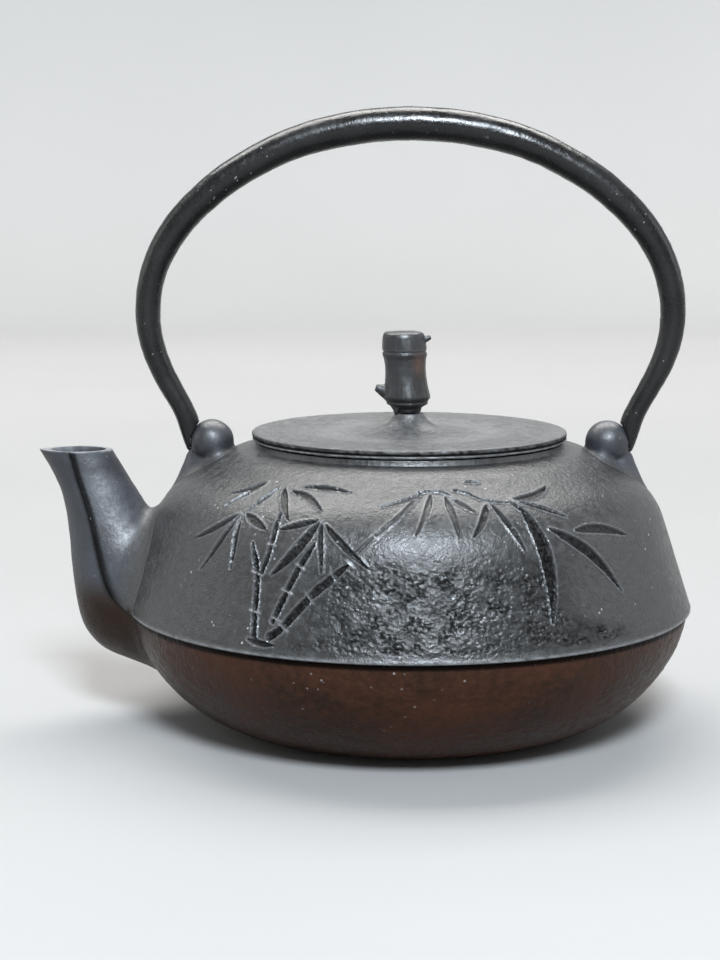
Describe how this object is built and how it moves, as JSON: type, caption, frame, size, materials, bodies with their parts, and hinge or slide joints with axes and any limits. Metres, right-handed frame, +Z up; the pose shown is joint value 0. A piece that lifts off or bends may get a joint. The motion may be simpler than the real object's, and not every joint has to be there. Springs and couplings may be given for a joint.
{
  "type": "cast iron teapot",
  "caption": "Round cast iron teapot with a bail handle, flat lid with a bamboo-shaped knob, upright spout and a lift-out steel infuser.",
  "frame": {"origin": "centre of the flat that the pot stands on, on the pot's axis", "axes": "+Z up along the pot's axis, -X towards the spout, the upright bail in the XZ plane, -Y towards the side with the bamboo relief"},
  "size_m": [0.2099, 0.181, 0.1968],
  "materials": {
    "shell_iron": "sand-cast, fine grained, satin matte, charcoal grey",
    "bowl_iron": "sand-cast, dark brownish, lightly lumpy, satin",
    "satin_iron": "smooth satin, bluish grey",
    "black_iron": "semi-gloss black with fine casting bumps",
    "lid_iron": "matte grey, fine sand texture, rougher edge",
    "steel": "satin stainless sheet",
    "mesh_steel": "fine woven stainless mesh"
  },
  "bodies": {
    "pot": {"pot_shell": "shell_iron", "pot_bowl": "bowl_iron", "spout": "satin_iron", "lug_left": "satin_iron", "lug_right": "satin_iron"},
    "bail": {"handle": "black_iron"},
    "infuser": {"infuser_rim": "steel", "infuser_mesh": "mesh_steel", "infuser_base": "steel"},
    "lid": {"lid": "lid_iron", "knob_washer": "steel"},
    "knob": {"lid_knob": "black_iron", "knob_tang": "black_iron"}
  },
  "joints": [
    {"name": "bail_swing", "type": "hinge", "parent": "pot", "child": "bail", "pos_m": [0, 0, 0.0905], "axis": [1, 0, 0], "range_deg": [-105, 105]},
    {"name": "infuser_lift", "type": "slide", "parent": "pot", "child": "infuser", "axis": [0, 0, 1], "range_m": [0, 0.026]},
    {"name": "lid_lift", "type": "slide", "parent": "infuser", "child": "lid", "axis": [0, 0, 1], "range_m": [0, 0.03]},
    {"name": "knob_turn", "type": "hinge", "parent": "lid", "child": "knob", "pos_m": [0, 0, 0.0998], "axis": [0, 0, 1], "continuous": true}
  ]
}
